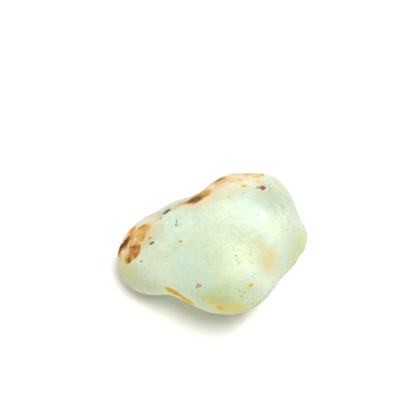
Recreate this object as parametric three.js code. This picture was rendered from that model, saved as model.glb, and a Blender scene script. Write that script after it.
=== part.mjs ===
// A water-worn pebble of pale topaz, 38 mm long and 12.7 cubic centimetres, lying on its flattest side.
// A broad, domed body on the right runs over a shallow waist into a smaller lobe on the left.
// It is one crystal fragment, so it is one solid: a rounded form with swells and hollows, faces worn
// flat by rolling, scars of old breaks, and fresh chips along the edge at the lower right.
//
// Millimetres, +Z up, seen from -Y. The origin is on the surface that the pebble lies on, below its middle.
// The form is worked out in a slanted frame, as somebody sees it who looks down at it from in front:
// "across" (x) runs to the right, "up" (y) runs up and away, and "near" (z) runs towards the eye.

import * as THREE from "three";
import { ImprovedNoise } from "three/addons/math/ImprovedNoise.js";
import { mergeVertices } from "three/addons/utils/BufferGeometryUtils.js";

// The slope of the line of sight
const LOOKING_DOWN = THREE.MathUtils.degToRad(45);

// The outline as seen in the slanted frame, [across, up], anticlockwise from the right tip
const OUTLINE = [
  [18.6, 0.5],
  [16.1, 6.0],
  [14.3, 10.2],
  [11.7, 12.7],
  [7.3, 13.5],
  [3.1, 13.2],
  [-0.8, 11.4],
  [-3.4, 9.4],
  [-8.2, 8.0],
  [-12.3, 5.6],
  [-15.6, 3.7],
  [-18.5, -0.3],
  [-19.7, -5.5],
  [-17.1, -9.0],
  [-12.5, -10.6],
  [-8.2, -10.5],
  [-3.9, -12.2],
  [0.3, -14.0],
  [5.3, -13.7],
  [9.7, -11.5],
  [13.1, -7.3],
  [17.3, -2.6],
];
// Its corners fade towards the middle, where it is the mean over this turn to each side.
const SOFT_TURN = THREE.MathUtils.degToRad(40);
const CORNER_POWER = 4;

// Half the thickness along the line of sight, at the lobe and at the body, and where they run together
const LOBE_HALF = 9.2;
const BODY_HALF = 14.5;
const LOBE_END = -13;
const BODY_START = 4;
// The power of the section's curve: 2 is an ellipse, more is fuller.
const FULLNESS = 2.3;

// The outline's upper part lies further off, and the lobe hangs down towards the floor from a soft bend.
const LEAN_BACK = -0.32;
const LOBE_HANG = 0.42;
const HANG_BEND = 3;

// The waist runs all round, on a slant from the saddle in the upper edge to the notch in the lower one.
const WAIST = { through: [-5.2, -0.5], along: [0.2, 1], width: 3.4, depth: 0.8 };

// Swells, and hollows where the height is below zero
const NEAR_SWELLS = [
  // The knob at the upper right, and the hollow above it that lets its brow stand out
  { at: [9.6, 6.4], reach: 4.2, height: 0.9 },
  { at: [3.4, 9.4], reach: 2.6, height: -0.45 },
  // The shoulder that rises from the saddle, and the belly low on the body
  { at: [1.6, 6.0], reach: 2.6, height: 0.5 },
  { at: [2.6, -8.6], reach: 4.0, height: 0.7 },
  // The dip between the belly and the right tip, and a lump over the tip
  { at: [11.6, -4.4], reach: 3.2, height: -0.55 },
  { at: [14.6, 4.8], reach: 2.4, height: 0.3 },
  // The lobe's crown
  { at: [-11.4, -2.6], reach: 3.4, height: 0.6 },
];
const FAR_SWELLS = [
  { at: [-7.0, 1.0], reach: 4.6, height: -0.9 },
  { at: [6.5, -5.0], reach: 4.8, height: 0.6 },
  { at: [9.0, 6.5], reach: 3.4, height: -0.7 },
  { at: [0.5, 7.5], reach: 3.0, height: 0.5 },
  { at: [-13.5, -4.5], reach: 3.0, height: 0.5 },
];

// Faces worn flat: which way each one looks, how much is gone, and how softly it runs into the rest
const WORN_FACES = [
  // The bevel along the upper left edge, with the ridge below it
  { facing: [-0.5, 0.82, 0.26], depth: 1.15, ease: 0.07 },
  // The flat right flank, and the face behind it: they meet in the edge at the lower right
  { facing: [0.78, -0.3, 0.55], depth: 1.7, ease: 0.45 },
  { facing: [0.68, -0.56, -0.47], depth: 1.6, ease: 0.15 },
  // The lobe's left end, above and below its corner, and its underside
  { facing: [-0.84, 0.2, 0.52], depth: 1.0, ease: 0.12 },
  { facing: [-0.78, -0.5, 0.36], depth: 0.6, ease: 0.25 },
  { facing: [-0.3, -0.86, 0.4], depth: 0.35, ease: 0.3 },
  // The far side
  { facing: [0.3, 0.72, -0.62], depth: 1.5, ease: 0.3 },
  { facing: [-0.52, 0.42, -0.74], depth: 1.3, ease: 0.35 },
  { facing: [0.86, 0.32, -0.4], depth: 0.9, ease: 0.25 },
  { facing: [-0.8, -0.28, -0.52], depth: 0.8, ease: 0.3 },
];
// The share of what stands out that is worn away. The rest leaves the faces a little domed.
const WORN_SHARE = 0.86;

// Fresh chips in the edge at the lower right: where along the outline, in degrees, how far over towards
// the eye, and the radius and the depth of the bite
const CHIPS = [
  { turn: -8, over: 1.2, radius: 4.5, depth: 0.45 },
  { turn: -19, over: -1.4, radius: 6.0, depth: 0.5 },
  { turn: -32, over: 1.5, radius: 4.0, depth: 0.5 },
  { turn: -43, over: -0.6, radius: 5.0, depth: 0.4 },
];
const CHIP_RIM = 0.04;
// How close to its line a point is to count as lying at a chip's turn
const LINE_REACH = 0.8;

// Scars of old breaks on the far side, with rims that are worn soft
const SCARS = [
  { at: [4.0, 6.5], radius: 16.0, depth: 0.7 },
  { at: [-11.0, 3.0], radius: 12.0, depth: 0.6 },
];
const SCAR_RIM = 0.2;

// Waves of the skin: from crest to crest, and how high. The long ones are older than the worn faces.
const LONG_WAVES = [{ span: 7.5, height: 0.35 }];
const SHORT_WAVES = [
  { span: 4.1, height: 0.16 },
  { span: 2.1, height: 0.08 },
];

// Worn pits, each of its own reach and depth between these
const PITS = { count: 70, reach: [0.7, 1.3], depth: [0.08, 0.22], seed: 11 };
// The row of chance numbers: each is the one before it times the factor, as what is left over from the modulus
const CHANCE = { factor: 16807, modulus: 2 ** 31 - 1 };

// How much of the underside is rubbed away where the pebble lies on it
const RUBBED = 0.7;

// The fineness of the grid, the curve and the mean, and the smallest distance between two points
const GRID_DETAIL = 19;
const CURVE_STEPS = 720;
const MEAN_STEPS = 9;
const SAME_POINT = 1e-5;
// How often the grid is evened out, and how far towards the middle of its neighbours a point goes each time
const EVENING_ROUNDS = 10;
const EVENING_SHARE = 0.5;

const FULL_TURN = 2 * Math.PI;

// How far a value is above zero, easing in over a width
function above(value, ease) {
  return ease * Math.log1p(Math.exp(value / ease));
}

// A bell of height 1 that falls away with distance
function bell(distance, reach) {
  return Math.exp(-0.5 * (distance / reach) ** 2);
}

// The outline as distances from the middle, in order of their angles
const outlineCurve = new THREE.CatmullRomCurve3(
  OUTLINE.map(([across, up]) => new THREE.Vector3(across, up, 0)),
  true,
  "centripetal",
);
const rim = outlineCurve
  .getPoints(CURVE_STEPS)
  .slice(1)
  .map((place) => ({ angle: Math.atan2(place.y, place.x), radius: place.length() }))
  .sort((a, b) => a.angle - b.angle);

function outlineRadius(direction) {
  const angle = Math.atan2(Math.sin(direction), Math.cos(direction));
  const after = Math.max(rim.findIndex((place) => place.angle >= angle), 0);
  const high = rim[after];
  const low = rim.at(after - 1);
  const span = (high.angle - low.angle + FULL_TURN) % FULL_TURN;
  const share = ((angle - low.angle + FULL_TURN) % FULL_TURN) / span;
  return THREE.MathUtils.lerp(low.radius, high.radius, share);
}

function softRadius(angle) {
  let sum = 0;
  for (let step = 0; step < MEAN_STEPS; step++) {
    sum += outlineRadius(angle + SOFT_TURN * ((2 * step) / (MEAN_STEPS - 1) - 1));
  }
  return sum / MEAN_STEPS;
}

// A place of the smooth pebble. The spread is 0 in the middle and 1 on the outline, and the side is 1
// towards the eye and -1 away from it.
function smoothPlace(angle, spread, side) {
  const radius = THREE.MathUtils.lerp(softRadius(angle), outlineRadius(angle), spread ** CORNER_POWER);
  const across = spread * radius * Math.cos(angle);
  const up = spread * radius * Math.sin(angle);
  const bodyShare = THREE.MathUtils.smoothstep(across, LOBE_END, BODY_START);
  const half = THREE.MathUtils.lerp(LOBE_HALF, BODY_HALF, bodyShare);
  const rise = Math.max(1 - spread ** FULLNESS, 0) ** (1 / FULLNESS);
  const lean = LEAN_BACK * up - LOBE_HANG * above(-across, HANG_BEND);
  return new THREE.Vector3(across, up, side * rise * half + lean);
}

// The same, found from where it is seen
function seenPlace([across, up], side) {
  const angle = Math.atan2(up, across);
  return smoothPlace(angle, Math.min(Math.hypot(across, up) / outlineRadius(angle), 1), side);
}

// The grid is that of a ball. Every step after it moves its points.
const ball = new THREE.IcosahedronGeometry(1, GRID_DETAIL);
ball.deleteAttribute("normal");
ball.deleteAttribute("uv");
const form = mergeVertices(ball, SAME_POINT);
const places = form.getAttribute("position");

function placeOf(i) {
  return new THREE.Vector3().fromBufferAttribute(places, i);
}

function moveAll(moved) {
  form.computeVertexNormals();
  const outward = form.getAttribute("normal");
  const results = Array.from({ length: places.count }, (_, i) => {
    return moved(placeOf(i), new THREE.Vector3().fromBufferAttribute(outward, i), i);
  });
  results.forEach((place, i) => places.setXYZ(i, place.x, place.y, place.z));
}

// The number of the point for which a value is least
function leastPoint(valueAt) {
  const values = Array.from({ length: places.count }, (_, i) => valueAt(placeOf(i)));
  return values.indexOf(Math.min(...values));
}

moveAll((place) => {
  const flat = Math.hypot(place.x, place.y);
  const rise = Math.abs(place.z);
  const spread = flat / (flat ** FULLNESS + rise ** FULLNESS) ** (1 / FULLNESS);
  return smoothPlace(Math.atan2(place.y, place.x), spread, Math.sign(place.z));
});

// The grid is evened out: every point goes towards the middle of its neighbours, along the skin.
const neighbours = Array.from({ length: places.count }, () => []);
for (let i = 0; i < form.index.count; i += 3) {
  const [a, b, c] = [0, 1, 2].map((corner) => form.index.getX(i + corner));
  neighbours[a].push(b);
  neighbours[b].push(c);
  neighbours[c].push(a);
}
for (let round = 0; round < EVENING_ROUNDS; round++) {
  moveAll((place, outward, i) => {
    const middle = new THREE.Vector3();
    neighbours[i].forEach((other) => middle.add(placeOf(other)));
    const step = middle.divideScalar(neighbours[i].length).sub(place);
    return place.addScaledVector(step.projectOnPlane(outward), EVENING_SHARE);
  });
}

// Swells, the waist and the long waves
const grain = new ImprovedNoise();

function lumpsAt(place, lumps) {
  return lumps.reduce((sum, { middle, reach, height }) => {
    return sum + height * bell(place.distanceTo(middle), reach);
  }, 0);
}

function wavesAt(place, waves) {
  return waves.reduce((sum, { span, height }) => {
    return sum + height * grain.noise(place.x / span, place.y / span, place.z / span);
  }, 0);
}

const swells = [
  ...NEAR_SWELLS.map((swell) => ({ ...swell, middle: seenPlace(swell.at, 1) })),
  ...FAR_SWELLS.map((swell) => ({ ...swell, middle: seenPlace(swell.at, -1) })),
];
const waistMiddle = new THREE.Vector3(...WAIST.through, 0);
const acrossWaist = new THREE.Vector3(WAIST.along[1], -WAIST.along[0], 0).normalize();
moveAll((place, outward) => {
  const fromWaist = place.clone().sub(waistMiddle).dot(acrossWaist);
  const waist = WAIST.depth * bell(fromWaist, WAIST.width) * Math.abs(outward.z);
  return place.addScaledVector(outward, lumpsAt(place, swells) + wavesAt(place, LONG_WAVES) - waist);
});

// The worn faces: what stands out beyond each one is mostly gone.
for (const { facing, depth, ease } of WORN_FACES) {
  const direction = new THREE.Vector3(...facing).normalize();
  const furthest = placeOf(leastPoint((place) => -place.dot(direction))).dot(direction);
  moveAll((place) => {
    const standsOut = above(place.dot(direction) - furthest + depth, ease);
    return place.addScaledVector(direction, -WORN_SHARE * standsOut);
  });
}

// The breaks: each one is the dent of a ball that bites into the skin.
function bite(place, outward, { radius, depth }, softness) {
  const centre = place.clone().addScaledVector(outward, radius - depth);
  moveAll((other) => {
    const distance = other.distanceTo(centre);
    return other.sub(centre).setLength(distance + above(radius - distance, softness)).add(centre);
  });
}

for (const chip of CHIPS) {
  const angle = THREE.MathUtils.degToRad(chip.turn);
  const outward = new THREE.Vector3(Math.cos(angle), Math.sin(angle), 0);
  const outermost = placeOf(leastPoint((place) => {
    const fromLine = Math.abs(place.y * outward.x - place.x * outward.y);
    return fromLine < LINE_REACH ? -place.dot(outward) : Infinity;
  }));
  outermost.z += chip.over;
  bite(outermost, outward, chip, CHIP_RIM);
}

for (const scar of SCARS) {
  const seen = seenPlace(scar.at, -1);
  const nearest = leastPoint((place) => place.distanceTo(seen));
  form.computeVertexNormals();
  const outward = new THREE.Vector3().fromBufferAttribute(form.getAttribute("normal"), nearest);
  bite(placeOf(nearest), outward, scar, SCAR_RIM);
}

// The short waves and the pits. The pits fall in the same places each time.
let chance = PITS.seed;
function between([low, high]) {
  chance = (chance * CHANCE.factor) % CHANCE.modulus;
  return THREE.MathUtils.lerp(low, high, chance / CHANCE.modulus);
}

const pits = Array.from({ length: PITS.count }, () => ({
  middle: placeOf(Math.floor(between([0, places.count]))),
  reach: between(PITS.reach),
  height: -between(PITS.depth),
}));
moveAll((place, outward) => {
  return place.addScaledVector(outward, lumpsAt(place, pits) + wavesAt(place, SHORT_WAVES));
});

// Into the frame that the pebble lies in, and down onto its rubbed underside
form.rotateX(Math.PI / 2 - LOOKING_DOWN);
form.computeBoundingBox();
const { min, max } = form.boundingBox;
form.translate(-(min.x + max.x) / 2, -(min.y + max.y) / 2, -min.z - RUBBED);
moveAll((place) => place.setZ(Math.max(place.z, 0)));
form.computeVertexNormals();

const pebble = new THREE.Mesh(
  form,
  new THREE.MeshStandardMaterial({ color: "#cfe6cf", roughness: 0.4, metalness: 0 }),
);
pebble.name = "topaz_pebble";

const part = new THREE.Group();
part.add(pebble);
export default part;
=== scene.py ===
import math
import random

import bmesh
import bpy
import numpy as np
from mathutils import Matrix, Vector, noise
from mathutils.bvhtree import BVHTree


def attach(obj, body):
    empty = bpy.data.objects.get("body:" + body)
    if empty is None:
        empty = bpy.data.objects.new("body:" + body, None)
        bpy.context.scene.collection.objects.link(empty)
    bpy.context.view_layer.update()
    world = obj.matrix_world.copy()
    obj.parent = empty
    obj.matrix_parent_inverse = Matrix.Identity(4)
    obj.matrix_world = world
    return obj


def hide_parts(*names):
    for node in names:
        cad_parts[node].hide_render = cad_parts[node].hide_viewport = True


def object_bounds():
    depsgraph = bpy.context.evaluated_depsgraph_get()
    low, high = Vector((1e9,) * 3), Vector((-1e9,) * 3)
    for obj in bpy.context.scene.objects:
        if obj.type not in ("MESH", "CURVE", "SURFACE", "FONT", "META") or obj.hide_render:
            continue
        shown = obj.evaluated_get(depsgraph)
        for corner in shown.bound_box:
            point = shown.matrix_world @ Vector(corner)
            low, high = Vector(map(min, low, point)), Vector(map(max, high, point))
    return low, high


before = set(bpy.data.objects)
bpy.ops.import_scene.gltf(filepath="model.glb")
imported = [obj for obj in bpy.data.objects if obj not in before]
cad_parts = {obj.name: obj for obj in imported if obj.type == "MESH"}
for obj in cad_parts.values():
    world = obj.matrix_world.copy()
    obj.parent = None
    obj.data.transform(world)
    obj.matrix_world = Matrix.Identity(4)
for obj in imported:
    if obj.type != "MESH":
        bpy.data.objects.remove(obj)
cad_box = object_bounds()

# The place that the stone is looked at from.
# Somebody bends over the table and looks down at it along a slope of half a right angle, from close by.
# The picture is a square, and the stone lies a little below its middle.
MM = 0.001
SLOPE = math.radians(45)
DISTANCE = 260 * MM
PICTURE_SIDE = 416
PIXEL = 0.195 * MM
STONE_AT = (212, 244)
# The middle of the outline isn't seen at the middle of the stone's box, but this far to the right and below
OFF_RIGHT = 0.12 * MM
OFF_DOWN = 0.52 * MM

rightwards = Vector((1, 0, 0))
upwards = Vector((0, math.sin(SLOPE), math.cos(SLOPE)))
to_eye = Vector((0, -math.cos(SLOPE), math.sin(SLOPE)))
looked_at = (cad_box[0] + cad_box[1]) / 2 + OFF_RIGHT * rightwards - OFF_DOWN * upwards
eye = looked_at + DISTANCE * to_eye


def seen_at(x, y):
    """The place, in the upright plane through the stone, that is seen at a pixel of the picture."""
    across = (x - STONE_AT[0]) * PIXEL
    up = (STONE_AT[1] - y) * PIXEL
    return looked_at + across * rightwards + up * upwards


camera = bpy.data.objects.new("viewpoint", bpy.data.cameras.new("viewpoint"))
bpy.context.scene.collection.objects.link(camera)
camera.location = eye
middle = seen_at(PICTURE_SIDE / 2, PICTURE_SIDE / 2)
camera.rotation_euler = (middle - eye).to_track_quat("-Z", "Y").to_euler()
camera.data.lens = camera.data.sensor_width * DISTANCE / (PICTURE_SIDE * PIXEL)
bpy.context.scene.camera = camera

# The pebble's form.
# It is one crystal fragment of topaz, rounded by a river and rolled about among other stones.
# The solid's own faces are divided twice, so that its skin can carry marks of a fifth of a millimetre.
SAME_PLACE = 0.001 * MM
DIVISIONS = 2
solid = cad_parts["topaz_pebble"]
joined = bmesh.new()
joined.from_mesh(solid.data)
bmesh.ops.remove_doubles(joined, verts=joined.verts, dist=SAME_PLACE)
coarse = bpy.data.meshes.new("coarse_form")
joined.to_mesh(coarse)
joined.free()
pebble = bpy.data.objects.new("topaz_stone", coarse)
bpy.context.scene.collection.objects.link(pebble)
rounding = pebble.modifiers.new("rounding", "SUBSURF")
rounding.levels = DIVISIONS
rounded = pebble.evaluated_get(bpy.context.evaluated_depsgraph_get())
finely_divided = bpy.data.meshes.new_from_object(rounded)
pebble.modifiers.clear()
pebble.data = finely_divided
skin = pebble.data


def read_skin():
    """The places of the skin's points, and the way that it faces at each of them."""
    places = np.empty(len(skin.vertices) * 3)
    skin.vertices.foreach_get("co", places)
    facings = np.empty(len(skin.vertices) * 3)
    skin.vertex_normals.foreach_get("vector", facings)
    return places.reshape(-1, 3), facings.reshape(-1, 3)


def write_skin(places):
    skin.vertices.foreach_set("co", places.ravel())
    skin.update()


def tree_of_skin():
    """The skin in a form that a line of sight can be sent at."""
    return BVHTree.FromPolygons([v.co for v in skin.vertices], [p.vertices for p in skin.polygons])


STEP_INWARDS = 0.01


def where_seen(x, y, behind=False):
    """The point of the skin that is seen at a pixel, or just inside the outline from it, and its facing.
    Behind it, the point where the same line of sight leaves the stone."""
    share = 0.0
    while True:
        target = seen_at(x + share * (STONE_AT[0] - x), y + share * (STONE_AT[1] - y))
        start = 2 * target - eye if behind else eye
        point, facing, _, _ = stone_tree.ray_cast(start, (target - start).normalized())
        if point is not None:
            return point, facing
        share += STEP_INWARDS


# The skin's relief.
# Rolling has dimpled it all over with the scoops of small knocks, and between them it is finely waved.
# Along the sharp edge at the lower right, and beside the knob, the knocks have broken chips out of it.

# The waves, by their span and height. They and the marks are in millimetres where they aren't in pixels.
WAVES = [(2.4, 0.045), (1.1, 0.022), (0.55, 0.010)]
KNOCKS = {"count": 420, "radius": (1.4, 4.2), "depth": (0.015, 0.055), "worn": 5}
PITS = {"count": 230, "reach": (0.18, 0.5), "depth": (0.03, 0.11)}
chance = random.Random(4485)

places, facings = read_skin()
heights = np.zeros(len(places))
for span, height in WAVES:
    waves = [noise.noise(Vector(place / (span * MM))) for place in places]
    heights += height * MM * np.array(waves)
write_skin(places + facings * heights[:, None])


def scoop(places, point, facing, radius, depth):
    """A ball's dent in the skin: what lies inside the ball goes straight out to its surface."""
    centre = np.array(point) + np.array(facing) * (radius - depth)
    away = places - centre
    distance = np.linalg.norm(away, axis=1)
    inside = distance < radius
    places[inside] = centre + away[inside] * (radius / distance[inside])[:, None]


ends = np.array([edge.vertices[:] for edge in skin.edges])
here, there = np.concatenate((ends, ends[:, ::-1])).T
neighbours = np.bincount(here)


def worn(places, times):
    """The places with their ridges rubbed down: each point goes halfway to the middle of its neighbours."""
    for _ in range(times):
        sums = [np.bincount(here, weights=places[there, k]) for k in range(3)]
        places = (places + np.array(sums).T / neighbours[:, None]) / 2
    return places


def dent(places, facings, point, reach, depth):
    """A small pit with a steep wall and a soft floor."""
    distance = np.linalg.norm(places - point, axis=1)
    shape = np.exp(-(distance / reach) ** 3)
    places -= facings * (depth * shape)[:, None]


places, facings = read_skin()
for _ in range(KNOCKS["count"]):
    i = chance.randrange(len(places))
    radius = chance.uniform(*KNOCKS["radius"]) * MM
    scoop(places, places[i], facings[i], radius, chance.uniform(*KNOCKS["depth"]) * MM)
places = worn(places, KNOCKS["worn"])
for _ in range(PITS["count"]):
    i = chance.randrange(len(places))
    reach = chance.uniform(*PITS["reach"]) * MM
    dent(places, facings, places[i].copy(), reach, chance.uniform(*PITS["depth"]) * MM)
write_skin(places)
stone_tree = tree_of_skin()

# Where the outline is a little fuller than the solid's, as (x, y), with how far round and by how many pixels
FULLER = [
    ((197, 304), 16, 2.8),
    ((292, 199), 14, 1.5),
    ((305.5, 249), 8, 2.2),
    ((296, 263), 8, 1.8),
]
places, facings = read_skin()
for (x, y), reach, rise in FULLER:
    point, facing = where_seen(x, y)
    away = np.linalg.norm(places - np.array(point), axis=1)
    places += np.array(facing) * (rise * PIXEL * np.exp(-(away / (reach * PIXEL)) ** 2))[:, None]

# Where small knocks lie close together, as (x, y) and a radius in pixels, with their number, radii and
# depths. They come from all sides, so that each is tipped a little at random.
FRETTED = [
    ((281, 218), 11, 36, (0.3, 0.8), (0.015, 0.04)),
    ((222, 211), 13, 24, (0.4, 0.9), (0.006, 0.02)),
    ((241, 257), 10, 40, (0.3, 0.7), (0.02, 0.04)),
    ((258, 301), 8, 34, (0.3, 0.8), (0.02, 0.05)),
    ((133, 246), 13, 50, (0.4, 1.1), (0.03, 0.08)),
    ((168, 222), 14, 36, (0.4, 0.9), (0.01, 0.04)),
]
TIPPED = 0.35
for (x, y), within, count, radii, depths in FRETTED:
    for _ in range(count):
        turn, out = chance.uniform(0, math.tau), within * math.sqrt(chance.random())
        point, facing = where_seen(x + out * math.cos(turn), y + out * math.sin(turn))
        tipped = (facing + TIPPED * Vector([chance.gauss(0, 1) for _ in range(3)])).normalized()
        scoop(places, point, tipped, chance.uniform(*radii) * MM, chance.uniform(*depths) * MM)

# The broken edge, from the right tip down to the belly, as points that the edge runs through.
# The chips between two of them are struck from the lower right, each a little nearer to the eye or behind.
BROKEN_EDGE = [(304, 252), (299, 258), (293, 266), (286, 273), (279, 281), (273, 287), (268, 294), (262, 302)]
CHIPS = {"count": 6, "radius": (0.4, 1.2), "depth": (0.1, 0.36), "square_on": 0.3, "nearer": 0.5, "worn": 1}
struck_from = rightwards - upwards * 0.9
for (x0, y0), (x1, y1) in zip(BROKEN_EDGE, BROKEN_EDGE[1:]):
    for _ in range(CHIPS["count"]):
        share = chance.random()
        point, facing = where_seen(x0 + share * (x1 - x0), y0 + share * (y1 - y0))
        nearer = chance.uniform(-CHIPS["nearer"], CHIPS["nearer"])
        outward = (struck_from + CHIPS["square_on"] * facing + to_eye * nearer).normalized()
        radius = chance.uniform(*CHIPS["radius"]) * MM
        scoop(places, point, outward, radius, chance.uniform(*CHIPS["depth"]) * MM)
places = worn(places, CHIPS["worn"])

# The top of the knob touches everything, and is rubbed smoother than the rest
RUBBED = {"at": (261, 216), "reach": 13, "worn": 70}
top_of_knob = np.array(where_seen(*RUBBED["at"])[0])
rubbed = np.exp(-(np.linalg.norm(places - top_of_knob, axis=1) / (RUBBED["reach"] * PIXEL)) ** 4)
write_skin(places + rubbed[:, None] * (worn(places, RUBBED["worn"]) - places))
stone_tree = tree_of_skin()

# The cracks: where each one starts and ends, and how wide and how deep it gapes. The greater their closing
# is, the nearer to its middle each one closes.
CLOSING = 2.2
CRACKS = [
    ((163.6, 214.3), (169.6, 209.2), 0.17, 0.45),
    ((199.4, 267.0), (199.2, 278.0), 0.10, 0.05),
    ((196.4, 289.0), (200.2, 281.0), 0.16, 0.12),
    ((169.0, 265.0), (169.6, 274.0), 0.10, 0.04),
]
places, facings = read_skin()
for start, end, width, depth in CRACKS:
    first, _ = where_seen(*start)
    last, _ = where_seen(*end)
    along = np.array(last - first)
    length = np.linalg.norm(along)
    along /= length
    from_middle = places - np.array(first + last) / 2
    lengthwise = from_middle @ along
    sideways = np.linalg.norm(from_middle - lengthwise[:, None] * along, axis=1)
    gape = np.exp(-(CLOSING * lengthwise / length) ** 4 - (sideways / (width * MM)) ** 2)
    places -= facings * (depth * MM * gape)[:, None]
write_skin(places)
stone_tree = tree_of_skin()

# The wide stains and clouds.
# Iron from the river's water has crept into the skin from the edges and the hollows, and soft clouds of
# finer veils lie under it. Some of the patches are painted shade and painted sheen instead.
# Each point of the skin is told how much of each it carries.

# A patch is (x, y) in the picture, half its length and width in pixels, the turn of its length in degrees,
# its strength and its softness.
SHINE_AT = (262, 216)
POLISHED = [(SHINE_AT, 13, 12, 0, 1.0, 0.9)]
BLUER = [
    ((260, 202), 20, 10, -8, 1.0, 0.8),
    ((188, 268), 15, 16, 20, 0.6, 0.8),
    ((165, 228), 16, 9, 32, 0.4, 0.8),
    ((240, 293), 12, 6, 0, 0.35, 0.8),
]
# These patches are partly a duller tone of the stone and partly painted shade: they darken the right flank,
# the front below the knob, the lower right and the bevel at the upper left
GREYER_AND_SHADE = [
    ((284, 200), 20, 26, 30, 0.60, 0.75),
    ((262, 194), 18, 10, -10, 0.35, 0.8),
    ((271, 203), 8, 9, 0, 0.15, 0.8),
    ((249, 237), 18, 11, -30, 0.50, 0.8),
    ((229, 240), 14, 16, 0, 0.16, 0.9),
    ((252, 293), 12, 12, 30, 0.30, 0.8),
    ((289, 248), 14, 22, -25, 0.30, 0.75),
    ((176, 206.5), 26, 3.0, 25, 0.9, 0.6),
    ((150, 236), 14, 10, 30, 0.3, 0.8),
    ((140, 282), 16, 9, -25, 0.35, 0.8),
    ((243, 284), 14, 12, 0, 0.35, 0.8),
    ((255, 298), 12, 8, 40, 0.3, 0.8),
]
# These patches are a yellow-green stain, and along the bottom edge also painted shade that darkens the lower
# front of the stone
OLIVE_AND_SHADE = [
    ((126, 271), 16, 12, -50, 0.62, 0.8),
    ((226, 291), 14, 11, 0, 0.6, 0.8),
    ((218, 303), 22, 8, -14, 0.8, 0.8),
    ((241, 308), 22, 7, 12, 0.9, 0.8),
    ((301, 246), 9, 16, -20, 0.6, 0.8),
    ((286, 270), 16, 9, 45, 0.35, 0.8),
    ((213, 262), 12, 14, 0, 0.25, 0.9),
    ((150, 285), 16, 7, -8, 0.35, 0.8),
    ((264, 196.2), 5, 1.1, -18, 0.9, 0.6),
    ((276.4, 186.3), 3, 1.3, -10, 0.8, 0.6),
]
# These patches are milky clouds, and partly painted sheen: the broad light's reflection along the upper band
# and on the frosted patch beside the knob, and the lit top rim
MILKIER_AND_SHEEN = [
    ((218, 211), 22, 8, 22, 1.0, 0.8),
    ((238, 180), 26, 7, 4, 1.0, 0.6),
    ((125, 252), 6, 3, 48, 0.7, 0.6),
    ((283, 218), 12, 10, 40, 0.62, 0.8),
    ((241.5, 260), 6, 8, 15, 0.95, 0.6),
    ((125.5, 252.5), 7, 3, 50, 1.0, 0.5),
    ((146, 217.5), 12, 2.4, 30, 0.9, 0.6),
    ((180, 222), 18, 8, 25, 0.4, 0.8),
    ((216, 262), 13, 5, 0, 0.35, 0.8),
    ((251, 302), 10, 6, 35, 0.4, 0.8),
    ((276, 283), 18, 5, 45, 0.6, 0.8),
    ((147, 259), 9, 8, 0, 0.35, 0.8),
    ((232, 240), 18, 22, 0, 0.25, 0.9),
    ((272, 183), 12, 1.2, -28, 0.6, 0.5),
    ((280, 190), 10, 1.2, -36, 0.6, 0.5),
    ((268, 190), 9, 1.1, -20, 0.5, 0.5),
]
TAN = [
    ((269, 260), 9, 13, 10, 1.05, 0.8),
    ((254, 243), 14, 7, -40, 0.4, 0.8),
    ((158, 255), 9, 6, 10, 0.3, 0.8),
    ((187, 246), 14, 5, 10, 0.18, 0.8),
    ((302, 240), 6, 12, -70, 0.35, 0.8),
    ((152, 238), 9, 7, 30, 0.25, 0.8),
    ((284, 183), 10, 5, -40, 0.3, 0.8),
    ((140, 236), 22, 12, 38, 0.9, 0.6),
    ((232, 188), 22, 9, 25, 0.55, 0.8),
    ((196, 206), 20, 5, 20, 0.4, 0.8),
]
OCHRE = [
    ((169, 287.5), 5, 1.2, -8, 0.22, 0.6),
    ((213, 302.8), 9, 7, -15, 0.36, 0.7),
    ((233, 307.5), 13, 4.6, 4, 0.44, 0.7),
    ((244, 307.8), 7, 3.2, 10, 0.18, 0.7),
    ((196, 306), 8, 2, -33, 0.3, 0.7),
    ((127, 268), 12, 8, -55, 0.20, 0.8),
    ((241, 259), 8, 9, 20, 0.16, 0.8),
    ((249, 253), 7, 7, 20, 0.12, 0.8),
    ((259.3, 181.3), 4.6, 2.0, -5, 0.45, 0.6),
    ((276.4, 186.3), 2.4, 1.3, -10, 0.3, 0.6),
    ((261.8, 195.4), 2.6, 0.9, -18, 0.24, 0.6),
    ((266.1, 196.9), 2.6, 0.9, -18, 0.24, 0.6),
    ((121.2, 259.4), 2.4, 2.2, 0, 0.5, 0.6),
    ((125.5, 252.5), 6, 2.6, 50, 0.20, 0.6),
]
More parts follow.
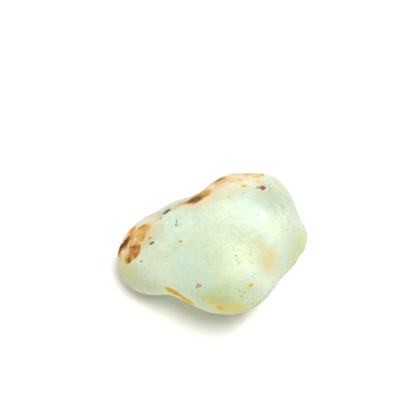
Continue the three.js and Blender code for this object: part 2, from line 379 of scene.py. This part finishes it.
RUST = [
    # The left end
    ((125.3, 252.6), 6, 2.6, 50, 0.10, 0.6),
    ((137, 238), 17, 10, 40, 0.23, 0.4),
    ((150, 224.5), 14, 5, 33, 0.08, 0.5),
    ((146, 231), 9, 5, 36, 0.06, 0.6),
    ((125.5, 243.5), 10, 3.4, 57, 0.34, 0.4),
    ((127.4, 238.8), 3.6, 1.3, 60, 0.34, 0.6),
    ((126.1, 242.9), 2.6, 2.0, 50, 0.50, 0.5),
    ((123.4, 246.4), 3.2, 2.2, 50, 0.34, 0.5),
    ((119.8, 249.5), 4.4, 2.0, 72, 0.50, 0.6),
    ((119.6, 255), 2.6, 1.6, 80, 0.30, 0.6),
    ((131.9, 247.5), 3.4, 1.1, 20, 0.36, 0.5),
    ((133.2, 253.6), 11.2, 5.0, 43, 0.42, 0.3),
    ((137.6, 253.4), 6, 1.2, 52, 0.16, 0.6),
    ((129, 261), 4.0, 2.4, 32, 0.44, 0.6),
    ((142.2, 226.8), 4.4, 0.9, 33, 0.36, 0.5),
    ((143.3, 239), 3.2, 2.4, 40, 0.14, 0.6),
    ((146, 214.6), 9, 0.6, 30, 0.14, 0.6),
    # The saddle
    ((198, 197.6), 12.5, 4.2, 26, 0.24, 0.6),
    ((195.4, 199.4), 6.2, 2.8, 18, 0.90, 0.8),
    ((203.6, 193.0), 6.4, 4.6, 15, 0.16, 0.6),
    ((208, 195.4), 3.4, 1.4, 10, 0.12, 0.6),
    ((186, 202.6), 5, 1.9, 24, 0.24, 0.6),
    ((178.5, 205), 7, 0.9, 18, 0.28, 0.6),
    ((192, 205), 5, 1.6, 8, 0.10, 0.8),
    ((200, 202.5), 11, 3.5, 15, 0.07, 0.8),
    ((214, 195), 12, 7, 30, 0.05, 0.8),
    # The upper edge
    ((208.5, 186.5), 7, 0.9, 34, 0.12, 0.6),
    ((220.3, 179.2), 5.4, 1.3, 26, 0.56, 0.6),
    ((221, 181), 8, 2.4, 24, 0.10, 0.7),
    ((236, 177), 26, 8, 7, 0.12, 0.6),
    ((213, 187), 9, 4, 34, 0.10, 0.7),
    ((226, 184), 16, 5, 24, 0.05, 0.7),
    ((247.1, 174), 4.8, 1.5, 0, 0.10, 0.6),
    ((255.5, 175.8), 5.0, 2.0, -12, 0.13, 0.6),
    ((262.2, 175), 2.6, 0.9, -6, 0.26, 0.6),
    ((240, 180.3), 5, 1.0, 5, 0.06, 0.6),
    # The lower edge of the lobe, and wisps beside it
    ((165.5, 257), 3.2, 1.8, 0, 0.05, 0.7),
    ((156, 292), 4.5, 1.6, 12, 0.06, 0.6),
]

# The far side isn't in the picture. It is taken to be like the near one, with the edge's stains drawn on over
# it. Its patches are placed by the pixels that they would be seen at through the stone.
BEHIND = {
    "polished": [],
    "bluer": [((180, 245), 20, 12, 20, 0.5, 0.8), ((262, 236), 18, 16, -30, 0.5, 0.8)],
    "greyer_and_shade": [((222, 225), 18, 9, 25, 0.5, 0.8), ((150, 268), 14, 10, 0, 0.4, 0.8)],
    "olive_and_shade": [((268, 216), 22, 10, -30, 0.7, 0.8), ((205, 282), 26, 10, -8, 0.6, 0.8)],
    "milkier_and_sheen": [((240, 210), 22, 9, 10, 0.7, 0.8), ((165, 232), 14, 8, 30, 0.6, 0.8)],
    "tan": [
        ((232, 196), 24, 8, 12, 0.6, 0.7),
        ((196, 215), 16, 7, 25, 0.6, 0.7),
        ((150, 235), 14, 8, 40, 0.6, 0.7),
    ],
    "ochre": [((276, 222), 9, 2.4, -40, 0.6, 0.6), ((222, 272), 13, 3, 10, 0.5, 0.6)],
    "rust": [
        ((250, 190), 12, 3.0, 5, 0.42, 0.6),
        ((243, 203), 5, 2.0, 30, 0.62, 0.6),
        ((208, 207), 9, 3.4, 40, 0.50, 0.6),
        ((172, 222), 8, 2.2, 28, 0.46, 0.6),
        ((160, 246), 5, 2.6, -20, 0.36, 0.6),
        ((262, 252), 3, 1.8, 10, 0.50, 0.5),
        ((236, 240), 14, 8, -20, 0.07, 0.8),
    ],
}


def pushed_about(span, push):
    """The skin's places, each moved a little at random, so that a patch laid by them gets an uneven edge."""
    places, _ = read_skin()
    pushes = [noise.noise_vector(Vector(place / (span * MM))) for place in places]
    return places + push * MM * np.array(pushes)


def axes_of_patch(turn):
    """The ways along a patch, across it, and towards the eye."""
    along = math.cos(math.radians(turn)) * rightwards + math.sin(math.radians(turn)) * upwards
    return along, to_eye.cross(along), to_eye


LEAST_FACING = 0.35


def depth_of_patch(thickness, facing):
    """How far a patch reaches into the stone. It is farther where the skin turns away from the eye."""
    return thickness * MM / max(LEAST_FACING, abs(facing.dot(to_eye)))


def lay_on_skin(name, patches, thickness, pushed):
    """Each point of the skin gets the sum of the patches there, of those seen and those behind."""
    total = np.zeros(len(pushed))
    laid = [(*patch, False) for patch in patches] + [(*patch, True) for patch in BEHIND[name]]
    for (x, y), length, width, turn, strength, softness, behind in laid:
        point, facing = where_seen(x, y, behind)
        reach = np.array((length * PIXEL, width * PIXEL, depth_of_patch(thickness, facing)))
        out = np.linalg.norm((pushed - np.array(point)) @ np.array(axes_of_patch(turn)).T / reach, axis=1)
        share = np.clip((1 + softness - out) / (2 * softness), 0, 1)
        total += strength * share * share * (3 - 2 * share)
    skin.attributes.new(name, "FLOAT", "POINT").data.foreach_set("value", total)


# Without a seed, the noise that pushes them about would be another one in every run
PUSHING_SEED = 1795601298
noise.seed_set(PUSHING_SEED)
loosely = pushed_about(1.6, 0.8)
closely = pushed_about(0.8, 0.35)
for name, patches, thickness, pushed in [
    ("bluer", BLUER, 6, loosely),
    ("greyer_and_shade", GREYER_AND_SHADE, 6, loosely),
    ("olive_and_shade", OLIVE_AND_SHADE, 6, loosely),
    ("milkier_and_sheen", MILKIER_AND_SHEEN, 5, loosely),
    ("tan", TAN, 5, loosely),
    ("polished", POLISHED, 5, loosely),
    ("ochre", OCHRE, 3, closely),
    ("rust", RUST, 3, closely),
]:
    lay_on_skin(name, patches, thickness, pushed)

# The topaz itself.
# It is a clear mineral, made milky by fine veils inside, and its skin is frosted by wear.
# Iron has stained the skin and the cracks in it, from yellow to nearly black.
topaz = bpy.data.materials.new("frosted_topaz")
topaz.use_nodes = True
tree = topaz.node_tree
tree.nodes.clear()


def add(tree, kind, **values):
    """A node, with its settings by their names and its sockets' values by their labels."""
    node = tree.nodes.new(kind)
    for name, value in values.items():
        if hasattr(node, name):
            setattr(node, name, value)
        else:
            node.inputs[name.replace("_", " ")].default_value = value
    return node


def lead(tree, output, node, name):
    tree.links.new(output, node.inputs[name])


spot = add(tree, "ShaderNodeTexCoord").outputs["Object"]


def ragged(span, push):
    """Places pushed about at random, so that what is laid out by them gets a ragged edge."""
    pushes = add(tree, "ShaderNodeTexNoise", Scale=1 / (span * MM), Detail=3.0, Roughness=0.6)
    lead(tree, spot, pushes, "Vector")
    centred = add(tree, "ShaderNodeVectorMath", operation="SUBTRACT")
    centred.inputs[1].default_value = (0.5, 0.5, 0.5)
    lead(tree, pushes.outputs["Color"], centred, 0)
    moved = add(tree, "ShaderNodeVectorMath", operation="MULTIPLY_ADD")
    moved.inputs[1].default_value = (push * MM,) * 3
    lead(tree, centred.outputs["Vector"], moved, 0)
    lead(tree, spot, moved, 2)
    return moved.outputs["Vector"]


rough_edge = ragged(1.1, 1.3)
fine_edge = ragged(0.35, 0.3)


def turn_of_patch(turn):
    return Matrix(axes_of_patch(turn)).transposed().to_euler()


def lay(patches, place, thickness):
    """The sum of a row of patches, given like those on the skin, but with edges finer than its points.
    The renderer holds about fifty of them in one material, and shows it black when there are more."""
    total = None
    for (x, y), length, width, turn, strength, softness in patches:
        point, facing = where_seen(x, y)
        reach_in = depth_of_patch(thickness, facing)
        laid = add(tree, "ShaderNodeMapping", vector_type="TEXTURE")
        lead(tree, place, laid, "Vector")
        laid.inputs["Location"].default_value = point
        laid.inputs["Rotation"].default_value = turn_of_patch(turn)
        laid.inputs["Scale"].default_value = (length * PIXEL, width * PIXEL, reach_in)
        out = add(tree, "ShaderNodeVectorMath", operation="LENGTH")
        lead(tree, laid.outputs["Vector"], out, 0)
        mask = add(tree, "ShaderNodeMapRange", interpolation_type="SMOOTHSTEP")
        lead(tree, out.outputs["Value"], mask, "Value")
        mask.inputs["From Min"].default_value = 1 + softness
        mask.inputs["From Max"].default_value = 1 - softness
        summed = add(tree, "ShaderNodeMath", operation="MULTIPLY_ADD")
        lead(tree, mask.outputs["Result"], summed, 0)
        summed.inputs[1].default_value = strength
        summed.inputs[2].default_value = 0
        if total is not None:
            lead(tree, total, summed, 2)
        total = summed.outputs[0]
    return total


def ramp(value, stops):
    """The colour that a value stands for, between stops of a value and a colour."""
    node = add(tree, "ShaderNodeValToRGB")
    lead(tree, value, node, "Fac")
    while len(node.color_ramp.elements) < len(stops):
        node.color_ramp.elements.new(1.0)
    for element, (at, colour) in zip(node.color_ramp.elements, stops):
        element.position = at
        element.color = (*colour, 1)
    return node.outputs["Color"]


def spread(value, low, high, to_low=0.0, to_high=1.0):
    """A value's range laid over another."""
    node = add(tree, "ShaderNodeMapRange")
    lead(tree, value, node, "Value")
    for name, number in [("From Min", low), ("From Max", high), ("To Min", to_low), ("To Max", to_high)]:
        node.inputs[name].default_value = number
    return node.outputs["Result"]


def calculate(operation, first, second):
    """A sum, product or the like of two values. Each of them is a number or a socket."""
    node = add(tree, "ShaderNodeMath", operation=operation)
    for k, value in enumerate((first, second)):
        if isinstance(value, bpy.types.NodeSocket):
            lead(tree, value, node, k)
        else:
            node.inputs[k].default_value = value
    return node.outputs[0]


def paint_over(share, under, over):
    """One colour over another, by a share. Each of them is a colour or a socket."""
    node = add(tree, "ShaderNodeMix", data_type="RGBA")
    for name, value in (("Factor", share), ("A", under), ("B", over)):
        socket = next(s for s in node.inputs if s.name == name and s.type in ("RGBA", "VALUE") and s.enabled)
        if isinstance(value, bpy.types.NodeSocket):
            tree.links.new(value, socket)
        elif socket.type == "RGBA":
            socket.default_value = (*value, 1)
        else:
            socket.default_value = value
    return next(s for s in node.outputs if s.type == "RGBA" and s.enabled)


def clouds(span, detail, place=spot):
    """Soft clouds of that span: a value about a half, that changes from place to place."""
    node = add(tree, "ShaderNodeTexNoise", Scale=1 / (span * MM), Detail=detail, Roughness=0.55)
    lead(tree, place, node, "Vector")
    return node.outputs["Fac"]


def flecks(span, detail, sets_in, full, share=1.0, place=spot):
    """The crests of the clouds: none where they set in, and that share where they are full."""
    return spread(clouds(span, detail, place), sets_in, full, 0, share)


# The clear body: mint, in parts cooler, more milky and duller. The milky colour also paints sheen below, and
# the dull and moss ones paint shade.
MINT = (0.78, 0.90, 0.73)
COOL = (0.66, 0.82, 0.75)
MILK_AND_SHEEN = (0.92, 0.96, 0.87)
DULL_AND_SHADE = (0.48, 0.54, 0.41)
MOSS_AND_SHADE = (0.58, 0.62, 0.28)
HONEY = (0.70, 0.62, 0.31)
colour = paint_over(flecks(9, 2, sets_in=0.40, full=0.62, share=0.7), MINT, COOL)
colour = paint_over(flecks(3.2, 3, sets_in=0.5, full=0.72, share=0.4), colour, MILK_AND_SHEEN)
colour = paint_over(flecks(1.7, 4, sets_in=0.52, full=0.75, share=0.3, place=rough_edge), colour, DULL_AND_SHADE)


def carried(name):
    """How much of a stain or cloud the skin carries."""
    return add(tree, "ShaderNodeAttribute", attribute_name=name).outputs["Fac"]


# Two of these tints, the dull one and the moss one, also lay painted shade on the colour
for name, tint in [("bluer", COOL), ("greyer_and_shade", DULL_AND_SHADE), ("olive_and_shade", MOSS_AND_SHADE), ("tan", HONEY)]:
    colour = paint_over(calculate("MINIMUM", carried(name), 1), colour, tint)

# Frosting and painted sheen: pale flecks everywhere, thickest in the milky clouds and where the patches above
# paint the broad light's sheen, and dull ones between them
PALE_EVERYWHERE = 0.18
paleness = calculate("ADD", carried("milkier_and_sheen"), PALE_EVERYWHERE)
pale = calculate("MULTIPLY", paleness, flecks(0.55, 4, sets_in=0.46, full=0.59))
colour = paint_over(calculate("MINIMUM", pale, 1), colour, MILK_AND_SHEEN)
colour = paint_over(flecks(0.6, 4, sets_in=0.56, full=0.70, share=0.3, place=rough_edge), colour, DULL_AND_SHADE)

# Ochre: a yellow film, golden where it is thicker, and thickest in the long streak at the lower edge.
# From the amount that is called full, it hides what it lies on.
OCHRE_COLOURS = [(0.0, (0.80, 0.76, 0.30)), (0.5, (0.84, 0.61, 0.03)), (0.9, (0.76, 0.38, 0.0))]
FULL_OCHRE = 0.7
OCHRE_MARKS = [
    ((173.5, 292), 9, 2.2, -24, 1.15, 0.4),
    ((187.5, 300.6), 8, 2.3, -33, 0.82, 0.45),
    ((247.8, 287.2), 3.4, 1.2, 38, 0.6, 0.5),
    ((251.2, 285.2), 1.9, 1.5, 20, 1.1, 0.45),
    ((242.3, 295.8), 2.3, 1.3, 30, 0.8, 0.5),
    ((243.6, 185.9), 3.0, 1.6, 5, 0.8, 0.4),
    ((220.4, 308), 3.2, 1.7, -28, 0.5, 0.5),
]
ochre = calculate("ADD", carried("ochre"), lay(OCHRE_MARKS, fine_edge, 3))
ochre = calculate("MULTIPLY", ochre, spread(clouds(1.0, 3), 0.3, 0.7, to_low=0.75, to_high=1.2))
colour = paint_over(spread(ochre, 0, FULL_OCHRE), colour, ramp(ochre, OCHRE_COLOURS))

# Rust: peach where it is thin, orange and brown where it is thick, drawn out in streaks along the stone
RUST_COLOURS = [
    (0.0, (1.0, 0.80, 0.62)),
    (0.12, (0.96, 0.67, 0.40)),
    (0.26, (0.80, 0.43, 0.09)),
    (0.40, (0.66, 0.27, 0.01)),
    (0.55, (0.42, 0.13, 0.01)),
    (0.75, (0.18, 0.04, 0.0)),
    (1.0, (0.03, 0.005, 0.0)),
]
FULL_RUST = 0.2
STREAKS = {"turn": 36, "drawn": (3.6, 0.7, 1.0), "span": 0.75}
RUST_MARKS = [
    ((160.7, 218), 2.2, 1.1, 60, 0.24, 0.6),
    ((151.9, 243.3), 2.6, 0.9, 28, 0.95, 0.5),
    ((150.4, 238.4), 1.2, 1.0, 0, 0.6, 0.5),
    ((141.5, 261.5), 1.4, 1.1, 0, 0.42, 0.5),
    ((151.4, 262.7), 1.8, 1.0, 0, 0.10, 0.6),
    ((180.7, 241.5), 1.4, 1.2, 0, 0.5, 0.5),
    ((298, 234), 1.4, 1.4, 0, 0.10, 0.6),
    ((197.7, 286), 3.2, 0.7, 62, 0.55, 0.5),
    ((200.3, 286.2), 2.8, 0.6, 62, 0.50, 0.5),
    ((198.8, 284.8), 1.6, 0.6, -30, 0.40, 0.5),
    ((200.2, 276), 5.0, 0.5, 80, 0.10, 0.6),
    ((169.0, 272), 4.0, 0.5, 80, 0.08, 0.6),
]
drawn_out = add(tree, "ShaderNodeMapping", vector_type="TEXTURE")
drawn_out.inputs["Rotation"].default_value = turn_of_patch(STREAKS["turn"])
drawn_out.inputs["Scale"].default_value = STREAKS["drawn"]
lead(tree, fine_edge, drawn_out, "Vector")
streaks = clouds(STREAKS["span"], 4, drawn_out.outputs["Vector"])
rust = calculate("MULTIPLY", carried("rust"), spread(streaks, 0.36, 0.64, to_low=0.66, to_high=1.34))
rust = calculate("ADD", rust, lay(RUST_MARKS, fine_edge, 3))
rust_share = spread(rust, 0, FULL_RUST)
colour = paint_over(rust_share, colour, ramp(rust, RUST_COLOURS))

# Three spots have a colour of their own: one of fresh orange at the left end, and a red pair on the knob
FRESH_ORANGE = (0.98, 0.32, 0.0)
ORANGE_SPOT = [((132.3, 230.8), 5.2, 2.8, 45, 1.0, 0.35)]
colour = paint_over(lay(ORANGE_SPOT, fine_edge, 3), colour, FRESH_ORANGE)
RED = (0.29, 0.02, 0.0)
RED_PAIR = [((262.9, 187.8), 2.8, 2.4, -5, 1.0, 0.35), ((258.2, 187.4), 1.8, 1.3, 0, 0.8, 0.5)]
colour = paint_over(lay(RED_PAIR, fine_edge, 3), colour, RED)

# Dirt: nearly black in the slit at the left end, the first row, and as single grains in the smallest pits
GRAIN = (0.03, 0.012, 0.002)
GRAINS = [
    ((166.8, 211.9), 4.8, 1.5, 38, 1.0, 0.3),
    ((270, 188.9), 1.5, 1.0, 0, 0.26, 0.6),
    ((176.6, 222), 3.6, 0.7, 78, 0.6, 0.5),
    ((176.2, 225.4), 1.2, 1.0, 0, 0.6, 0.5),
    ((180.6, 218), 1.2, 0.7, 80, 0.3, 0.5),
    ((258.8, 214.4), 0.9, 0.8, 0, 0.6, 0.5),
    ((229.2, 196.9), 1.6, 0.9, -30, 0.26, 0.6),
    ((243.2, 192.8), 0.9, 0.9, 0, 0.45, 0.5),
    ((221, 206.5), 1.8, 0.8, -10, 0.16, 0.6),
    ((240.6, 211.6), 0.9, 0.8, 0, 0.2, 0.5),
    ((244.6, 292), 0.8, 1.2, 0, 0.5, 0.5),
    ((240, 290.8), 0.8, 1.2, 30, 0.4, 0.5),
    ((236.3, 255.7), 1.2, 1.0, 0, 0.5, 0.5),
    ((250.5, 254), 0.9, 1.2, 0, 0.3, 0.5),
    ((238.5, 250), 1.0, 0.6, 40, 0.3, 0.5),
    ((252.1, 262.4), 0.9, 0.9, 0, 0.34, 0.5),
    ((234.6, 261), 0.7, 0.7, 0, 0.3, 0.5),
    ((254.6, 273.3), 1.4, 0.8, -45, 0.3, 0.5),
    ((252.5, 276.2), 0.9, 0.7, 0, 0.22, 0.6),
    ((242.9, 281.6), 0.9, 0.8, 0, 0.26, 0.5),
    ((230.8, 282.8), 1.2, 0.6, -10, 0.14, 0.6),
    ((197.9, 301.2), 0.9, 0.8, 0, 0.26, 0.5),
    ((252.5, 302.8), 1.0, 0.6, 0, 0.25, 0.5),
    ((165.8, 257), 2.4, 0.7, 5, 0.22, 0.6),
    ((135, 283), 0.9, 0.9, 0, 0.24, 0.6),
]
grains = lay(GRAINS, fine_edge, 2)
# More of them lie scattered over the stone: how far apart, what share of that a grain is wide, what share of
# the grains is left out, and how dark the darkest are
DARK_CORE = 0.4
DARKEST_FROM = 0.95
for span, width, left_out, darkness in [(2.3, 0.075, 0.72, 0.4), (0.95, 0.11, 0.55, 0.24)]:
    scattered = add(tree, "ShaderNodeTexVoronoi", feature="F1", Scale=1 / (span * MM))
    lead(tree, fine_edge, scattered, "Vector")
    near_seed = spread(scattered.outputs["Distance"], DARK_CORE * width, width, 1, 0)
    chosen = add(tree, "ShaderNodeSeparateColor")
    lead(tree, scattered.outputs["Color"], chosen, "Color")
    some = spread(chosen.outputs["Red"], left_out, DARKEST_FROM, 0, darkness)
    grains = calculate("ADD", grains, calculate("MULTIPLY", near_seed, some))
colour = paint_over(calculate("MINIMUM", grains, 1), colour, GRAIN)

output = add(tree, "ShaderNodeOutputMaterial")
body = add(tree, "ShaderNodeBsdfPrincipled")
lead(tree, body.outputs["BSDF"], output, "Surface")
lead(tree, colour, body, "Base Color")
for name, value in [
    ("IOR", 1.62),
    ("Specular IOR Level", 0.12),
    ("Transmission Weight", 0.52),
    ("Subsurface Weight", 1.0),
    ("Subsurface Radius", (0.9, 1.0, 0.8)),
    ("Subsurface Scale", 1.5 * MM),
    ("Coat Roughness", 0.2),
]:
    body.inputs[name].default_value = value
# It is frosted all over, most of all where it is rusty, and only the top of the knob is rubbed to a shine
unevenly = calculate("ADD", clouds(1.6, 4), calculate("MULTIPLY", rust_share, 0.6))
lead(tree, spread(unevenly, 0.3, 1.2, to_low=0.62, to_high=0.9), body, "Roughness")
lead(tree, spread(carried("polished"), 0, 1, to_low=0.04, to_high=0.6), body, "Coat Weight")
frosting = add(tree, "ShaderNodeBump", Strength=0.6, Distance=0.05 * MM)
lead(tree, clouds(0.3, 4), frosting, "Height")
lead(tree, frosting.outputs["Normal"], body, "Normal")

# The light that goes through it turns greener with every millimetre
inside = add(tree, "ShaderNodeVolumeAbsorption")
inside.inputs["Color"].default_value = (0.55, 0.85, 0.6, 1)
inside.inputs["Density"].default_value = 12
lead(tree, inside.outputs["Volume"], output, "Volume")

skin.materials.clear()
skin.materials.append(topaz)
skin.polygons.foreach_set("use_smooth", [True] * len(skin.polygons))

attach(pebble, "root")
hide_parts("topaz_pebble")

# The table and the light.
# The stone lies on a plain white sheet, under a wide soft light above it, a little to the right and in front.
# A weak one from behind lights its rim, and a small lamp puts the one bright spot on its knob.
SHEET_RADIUS = 6.0
sheet = bmesh.new()
bmesh.ops.create_circle(sheet, cap_ends=True, segments=96, radius=SHEET_RADIUS)
floor_mesh = bpy.data.meshes.new("white_sheet")
sheet.to_mesh(floor_mesh)
sheet.free()
floor = bpy.data.objects.new("white_sheet", floor_mesh)
bpy.context.scene.collection.objects.link(floor)
white = bpy.data.materials.new("white_paper")
white.use_nodes = True
paper = white.node_tree.nodes["Principled BSDF"]
paper.inputs["Base Color"].default_value = (0.8, 0.8, 0.8, 1)
paper.inputs["Roughness"].default_value = 0.9
paper.inputs["Specular IOR Level"].default_value = 0.1
floor_mesh.materials.append(white)

# The room looks white behind the table, but lights the stone with less than half of that, so that the lamps
# can model it
ROOM_LIGHTS = 0.57
ROOM_LOOKS = 1.4
world = bpy.data.worlds.new("pale_room")
bpy.context.scene.world = world
world.use_nodes = True
room = world.node_tree.nodes["Background"]
room.inputs["Color"].default_value = (1.0, 0.84, 0.80, 1)
direct = add(world.node_tree, "ShaderNodeLightPath")
brightness = add(world.node_tree, "ShaderNodeMapRange")
lead(world.node_tree, direct.outputs["Is Camera Ray"], brightness, "Value")
brightness.inputs["To Min"].default_value = ROOM_LIGHTS
brightness.inputs["To Max"].default_value = ROOM_LOOKS
lead(world.node_tree, brightness.outputs["Result"], room, "Strength")


LAMP_DISTANCE = 0.6


def lamp_towards(name, kind, direction, **values):
    """A lamp of that kind, seen from the stone in that direction."""
    lamp = bpy.data.lights.new(name, kind)
    for key, value in values.items():
        setattr(lamp, key, value)
    placed = bpy.data.objects.new(name, lamp)
    bpy.context.scene.collection.objects.link(placed)
    placed.location = Vector(direction).normalized() * LAMP_DISTANCE
    placed.rotation_euler = Vector(direction).to_track_quat("Z", "Y").to_euler()


COOL_WHITE = (0.97, 1.0, 1.0)
WARM_WHITE = (1.0, 0.97, 0.92)
lamp_towards("wide_light", "SUN", (0.25, -0.36, 0.90), energy=3.0, angle=math.radians(34), color=COOL_WHITE)
lamp_towards("rim_light", "SUN", (-0.50, 0.50, 0.70), energy=0.8, angle=math.radians(60), color=WARM_WHITE)
# The small lamp stands where the top of the knob mirrors it towards the eye
SIDESTEPS = (-5, 0, 5)
around = [(SHINE_AT[0] + right, SHINE_AT[1] + down) for right in SIDESTEPS for down in SIDESTEPS]
facing = sum((where_seen(x, y)[1] for x, y in around), Vector()).normalized()
mirrored = 2 * facing.dot(to_eye) * facing - to_eye
lamp_towards("small_lamp", "AREA", mirrored, energy=1.0, shape="DISK", size=0.11)

bpy.context.scene.view_settings.view_transform = "Standard"
